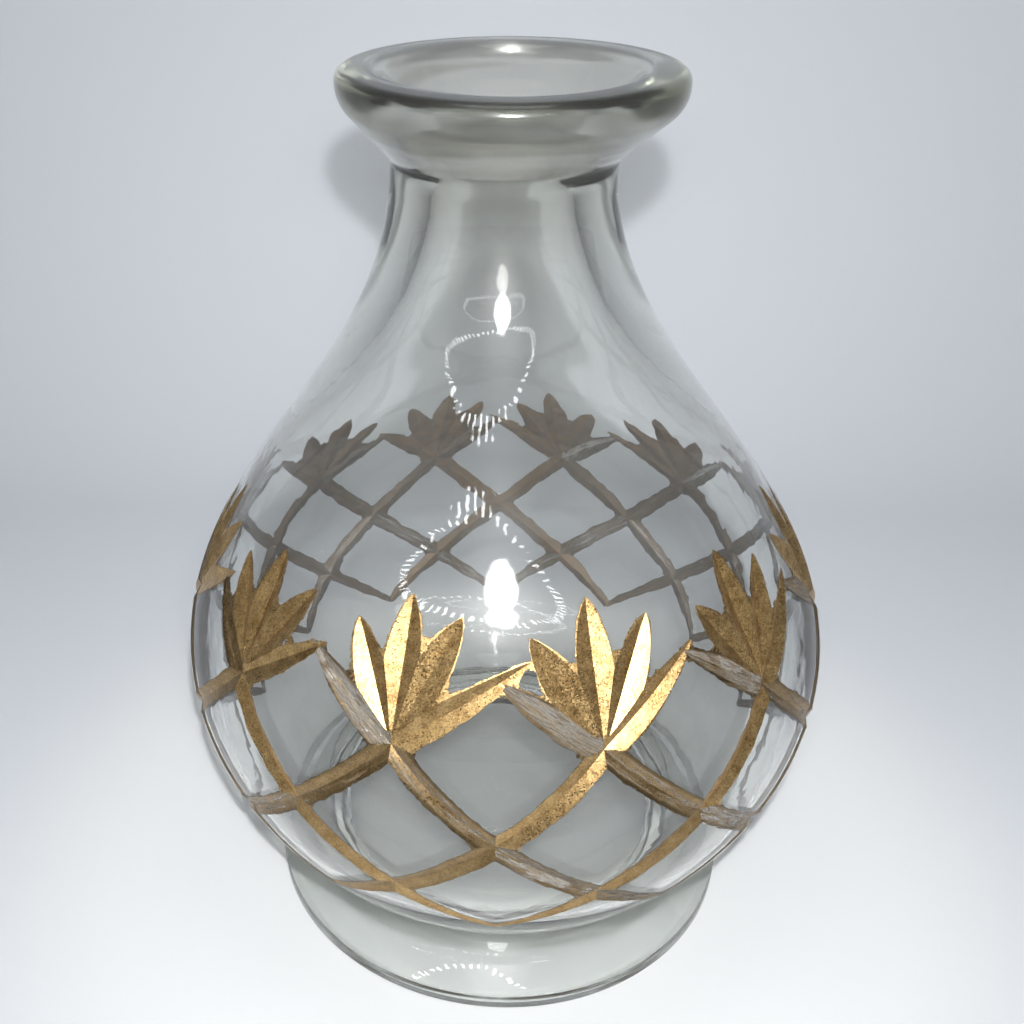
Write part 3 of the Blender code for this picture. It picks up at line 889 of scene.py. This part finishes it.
def without_crumbs(faces, points):
    """Which faces to keep: those of islands whose area is at least that of a crumb.

    Each face takes the lowest number of the faces across its sides, until the whole island has it.
    """
    sides = np.sort(faces[:, [[0, 1], [1, 2], [2, 0]]], axis=2) @ [len(points), 1]
    side = np.unique(sides, return_inverse=True)[1].reshape(-1, 3)
    island = np.arange(len(faces))
    settled = False
    while not settled:
        lowest = np.full(side.max() + 1, len(faces))
        np.minimum.at(lowest, side, island[:, None])
        spread = lowest[side].min(axis=1)
        settled = np.array_equal(spread, island)
        island = spread[spread]
    corners = points[faces]
    normals = np.cross(corners[:, 1] - corners[:, 0], corners[:, 2] - corners[:, 0])
    areas = np.bincount(island, np.linalg.norm(normals, axis=1) / 2)
    return areas[island] >= crumb_area


def paint_film(name, sector, picked):
    """A closed skin over the picked faces of the cuts, half in the glass and half proud of it.

    picked holds, for each sector counted from this one, which of its faces the film covers.
    """
    parts = {key: [] for key in ("azimuth", "length", "depth", "edge", "faces", "run", "petal", "wear")}
    size = 0
    for shift, chosen in picked.items():
        sheet = sheets[(sector + shift) % fan_count]
        home, cut = sheet["faces"][chosen], sheet["owner"][chosen, None]
        number = sheet["number"][chosen]
        for key in ("azimuth", "length", "depth", "edge"):
            parts[key].append(sheet[key])
        parts["faces"].append(home + size)
        parts["run"].append(np.stack([sheet["along"][cut, home], sheet["across"][cut, home]], axis=-1))
        parts["petal"].append(number < petal_count)
        wears = wear_table[(sector + shift + sheet["shift"][chosen]) % fan_count, number]
        parts["wear"].append(wears + lower_row_wear * ~sheet["upper"][chosen])
        size += len(sheet["azimuth"])
    parts = {key: np.concatenate(values) for key, values in parts.items()}
    used, numbers = np.unique(parts["faces"], return_inverse=True)
    faces = numbers.reshape(-1, 3)
    azimuths, lengths, depths, edges = (parts[key][used] for key in ("azimuth", "length", "depth", "edge"))
    top = on_outside(azimuths, lengths, depths - paint_thickness)
    bottom = on_outside(azimuths, lengths, depths + paint_thickness)
    # The two sectors beside a border have the same points on it, and the first one's are kept
    _, first, merged = np.unique(np.round(top / weld_gap), axis=0, return_index=True, return_inverse=True)
    faces = merged.reshape(-1)[faces]
    kept = without_crumbs(faces, top[first])
    corners, petal_cuts, wears = (parts[key][kept] for key in ("run", "petal", "wear"))
    used, numbers = np.unique(faces[kept], return_inverse=True)
    faces = numbers.reshape(-1, 3)
    top, bottom, edges = (values[first][used] for values in (top, bottom, edges))
    count = len(used)
    sides = np.concatenate([faces[:, [0, 1]], faces[:, [1, 2]], faces[:, [2, 0]]])
    keys = np.sort(sides, axis=1) @ [count, 1]
    _, single, copies = np.unique(keys, return_index=True, return_counts=True)
    border = sides[single[copies == 1]]
    walls = np.stack([border[:, 1], border[:, 0], border[:, 0] + count, border[:, 1] + count], axis=-1)
    polygons = faces.tolist() + (faces[:, ::-1] + count).tolist() + walls.tolist()
    made = bpy.data.meshes.new(name)
    made.from_pydata(np.concatenate([top, bottom]).tolist(), [], polygons)
    made.materials.append(gold_face)
    made.materials.append(gold_underside_shaded)
    slots = np.zeros(len(polygons), int)
    slots[len(faces) : 2 * len(faces)] = 1
    made.polygons.foreach_set("material_index", slots)
    # In millimetres: the way along and across the cut, and the way in from its edge beside its wear
    run_map = made.uv_layers.new(name="cut_run")
    coat_map = made.uv_layers.new(name="coat")
    runs = np.concatenate([corners.reshape(-1, 2), corners[:, ::-1].reshape(-1, 2)]) * millimetres
    spread = petal_overrun * petal_cuts[:, None]
    coats = np.stack([(edges[faces] + spread) * millimetres, np.repeat(wears[:, None], 3, axis=1)], axis=-1)
    coats = np.concatenate([coats.reshape(-1, 2), coats[:, ::-1].reshape(-1, 2)])
    wall_corners = np.zeros((4 * len(walls), 2))
    run_map.data.foreach_set("uv", np.concatenate([runs, wall_corners]).ravel())
    coat_map.data.foreach_set("uv", np.concatenate([coats, wall_corners - [1.0, 0.0]]).ravel())
    return bpy.data.objects.new(name, made)


for sector in range(fan_count):
    fan_faces = {}
    for shift in (0, -1, 1):
        sheet = sheets[(sector + shift) % fan_count]
        fan_faces[shift] = sheet["painted"] & (sheet["number"] < petal_count) & (sheet["shift"] == -shift)
    sheet = sheets[sector]
    line_faces = sheet["painted"] & (sheet["number"] >= petal_count)
    fan_faces[0] |= line_faces & sheet["upper"]
    fan = paint_film(f"painted_fan_{sector + 1:02d}", sector, fan_faces)
    finish_piece(fan, [f"fan_gilding_{sector + 1:02d}"])
    cross = paint_film(f"painted_crossing_{sector + 1:02d}", sector, {0: line_faces & ~sheet["upper"]})
    finish_piece(cross, [f"cross_gilding_{sector + 1:02d}"])

# Studio. A pale sweep of board, whitest under the vase, in a small light tent: a panel overhead, a
# small flash beside the lens in a glow of its own, and a ring of little lamps above the lens.
sweep_back = 0.30
sweep_radius = 0.15
sweep_top = 1.6
sweep_front = -3.0
sweep_half_width = 3.0
floor_drop = 0.0002

# The sweep is level, then a quarter of a circle, then upright
turn = np.linspace(0.0, math.pi / 2, 33)
level_y = np.concatenate([[sweep_front], np.linspace(-0.4, sweep_back - sweep_radius, 14)[:-1]])
curved_y = sweep_back - sweep_radius + sweep_radius * np.sin(turn)
sweep_y = np.concatenate([level_y, curved_y, [sweep_back]])
sweep_z = np.concatenate([0 * level_y, sweep_radius * (1 - np.cos(turn)), [sweep_top]]) - floor_drop
count = len(sweep_y)
floor_points = np.concatenate([
    np.stack([np.full(count, side * sweep_half_width), sweep_y, sweep_z], axis=-1) for side in (-1, 1)
])
index = np.arange(count - 1)
floor_faces = np.stack([index, index + count, index + count + 1, index + 1], axis=-1)
floor_mesh = bpy.data.meshes.new("floor")
floor_mesh.from_pydata(floor_points.tolist(), [], floor_faces.tolist())
floor_mesh.shade_smooth()
floor = bpy.data.objects.new("floor", floor_mesh)
scene.collection.objects.link(floor)
floor_paint = bpy.data.materials.new("floor_paint")
floor_paint.use_nodes = True
tree = floor_paint.node_tree
board = tree.nodes["Principled BSDF"]
board.inputs["Roughness"].default_value = 0.9
board.inputs["Specular IOR Level"].default_value = 0.1
away = vector_length(tree, add_node(tree, "ShaderNodeTexCoord").outputs["Object"])
pool = ramp_between(tree, away, 0.085, 0.135, interpolation="SMOOTHSTEP")
board_colour = blend(tree, pool, (0.655, 0.67, 0.68, 1.0), (0.575, 0.60, 0.64, 1.0))
chain(tree, board_colour, board.inputs["Base Color"])
floor_mesh.materials.append(floor_paint)

# The tent's walls: dark round the opening that the camera looks in by, bright at the sides, a
# seam, then the paler back. The direction's turn from the front runs from 0 to 1 at the back.
wall_stops = [
    (0.00, (0.20, 0.21, 0.21)),
    (0.20, (0.22, 0.23, 0.23)),
    (0.24, (0.76, 0.77, 0.77)),
    (0.45, (0.78, 0.80, 0.81)),
    (0.47, (0.30, 0.32, 0.34)),
    (0.52, (0.30, 0.32, 0.34)),
    (0.54, (0.85, 0.88, 0.92)),
    (1.00, (0.70, 0.74, 0.80)),
]
world = bpy.data.worlds.new("tent")
world.use_nodes = True
tree = world.node_tree
sky = tree.nodes["Background"]
sky.inputs["Strength"].default_value = 0.32
sideways, backwards, _ = parts_of(tree, add_node(tree, "ShaderNodeTexCoord").outputs["Generated"])
turned_by = math_node(
    tree, "ARCTAN2", math_node(tree, "ABSOLUTE", sideways), math_node(tree, "MULTIPLY", backwards, -1.0)
)
turn_share = math_node(tree, "DIVIDE", turned_by, math.pi)
chain(tree, colour_ramp(tree, turn_share, wall_stops), sky.inputs["Color"])
scene.world = world


def lamp(name, place, target, size, power):
    """A rectangular area lamp at place that faces target."""
    light = bpy.data.lights.new(name, "AREA")
    light.shape = "RECTANGLE"
    light.size, light.size_y = size
    light.energy = power
    made = bpy.data.objects.new(name, light)
    facing = (Vector(target) - Vector(place)).to_track_quat("-Z", "Y")
    made.matrix_world = Matrix.Translation(place) @ facing.to_matrix().to_4x4()
    scene.collection.objects.link(made)
    return made


def lamp_face(made):
    """Node tree of a lamp, the place on its face from the middle, and how far that is from the middle."""
    made.data.use_nodes = True
    tree = made.data.node_tree
    centred = add_node(tree, "ShaderNodeVectorMath", operation="SUBTRACT")
    face = add_node(tree, "ShaderNodeNewGeometry").outputs["Parametric"]
    chain(tree, face, centred.inputs[0], (0.5, 0.5, 0.0), centred.inputs[1])
    return tree, centred.outputs["Vector"], vector_length(tree, centred.outputs["Vector"])


def soften(made, core):
    """Makes a lamp fade with the distance instead of its square, and from a bright core to its edge."""
    tree, _, radius = lamp_face(made)
    falloff = add_node(tree, "ShaderNodeLightFalloff")
    chain(
        tree,
        ramp_between(tree, radius, 0.5, core, interpolation="SMOOTHSTEP"), falloff.inputs["Strength"],
        falloff.outputs["Linear"], tree.nodes["Emission"].inputs["Strength"],
    )


# Radius of the ring of lights, and where its band's edges are clear and solid, as shares of the lamp
ring_radius = 0.44
ring_clear = 0.035
ring_solid = 0.02


def make_ring(made, lights):
    """Leaves only a ring of separate small lights of a lamp: a band of its ellipse, cut by a sine."""
    tree, centred, radius = lamp_face(made)
    level, up, _ = parts_of(tree, centred)
    off_ring = math_node(tree, "ABSOLUTE", math_node(tree, "SUBTRACT", radius, ring_radius))
    around = math_node(tree, "ARCTAN2", up, level)
    beads = math_node(tree, "SINE", math_node(tree, "MULTIPLY", around, lights))
    band = ramp_between(tree, off_ring, ring_clear, ring_solid)
    lit = math_node(tree, "MULTIPLY", band, ramp_between(tree, beads, 0.25, 0.60))
    chain(tree, lit, tree.nodes["Emission"].inputs["Strength"])


lamp("overhead_panel", (0.0, -0.05, 0.80), (0.0, 0.0, 0.08), (0.34, 0.34), 0.65)
soften(lamp("flash", (0.004, -0.199, 0.2165), (0.0, 0.0, 0.09), (0.052, 0.032), 2.7), 0.20)
soften(lamp("flash_glow", (0.004, -0.203, 0.2170), (0.0, 0.0, 0.09), (0.170, 0.110), 1.0), 0.0)
soften(lamp("bare_flash", (0.004, -0.199, 0.2210), (0.0, 0.0, 0.09), (0.007, 0.007), 6.0), 0.25)
make_ring(lamp("bead_ring", (-0.070, -0.514, 0.478), (0.0, -0.03, 0.123), (0.80, 0.130), 6.0), 60.0)

# Camera. It stands where the photograph was taken from, close in front of the vase and looking down
# on its rim, as the outlines of the foot, the belly, the neck and the rim give it.
camera_place = Vector((0.0, -0.19731, 0.19850))
camera_pitch = 0.5186
camera_yaw = -0.1016
camera_roll = -0.0404
focal_pixels = 1140.3
centre_pixel = 398.1
frame_pixels = 1024
ahead = Vector((
    math.sin(camera_yaw) * math.cos(camera_pitch),
    math.cos(camera_yaw) * math.cos(camera_pitch),
    -math.sin(camera_pitch),
))
level = Vector((math.cos(camera_yaw), -math.sin(camera_yaw), 0.0))
upright = level.cross(ahead)
rightwards = math.cos(camera_roll) * level + math.sin(camera_roll) * upright
upwards = -math.sin(camera_roll) * level + math.cos(camera_roll) * upright
lens = bpy.data.cameras.new("camera")
lens.sensor_width = 36.0
lens.lens = focal_pixels * lens.sensor_width / frame_pixels
lens.shift_x = (frame_pixels / 2 - centre_pixel) / frame_pixels
lens.clip_start = 0.01
camera = bpy.data.objects.new("camera", lens)
scene.collection.objects.link(camera)
turned = Matrix((rightwards, upwards, -ahead)).transposed().to_4x4()
camera.matrix_world = Matrix.Translation(camera_place) @ turned
scene.camera = camera
scene.view_settings.view_transform = "Standard"
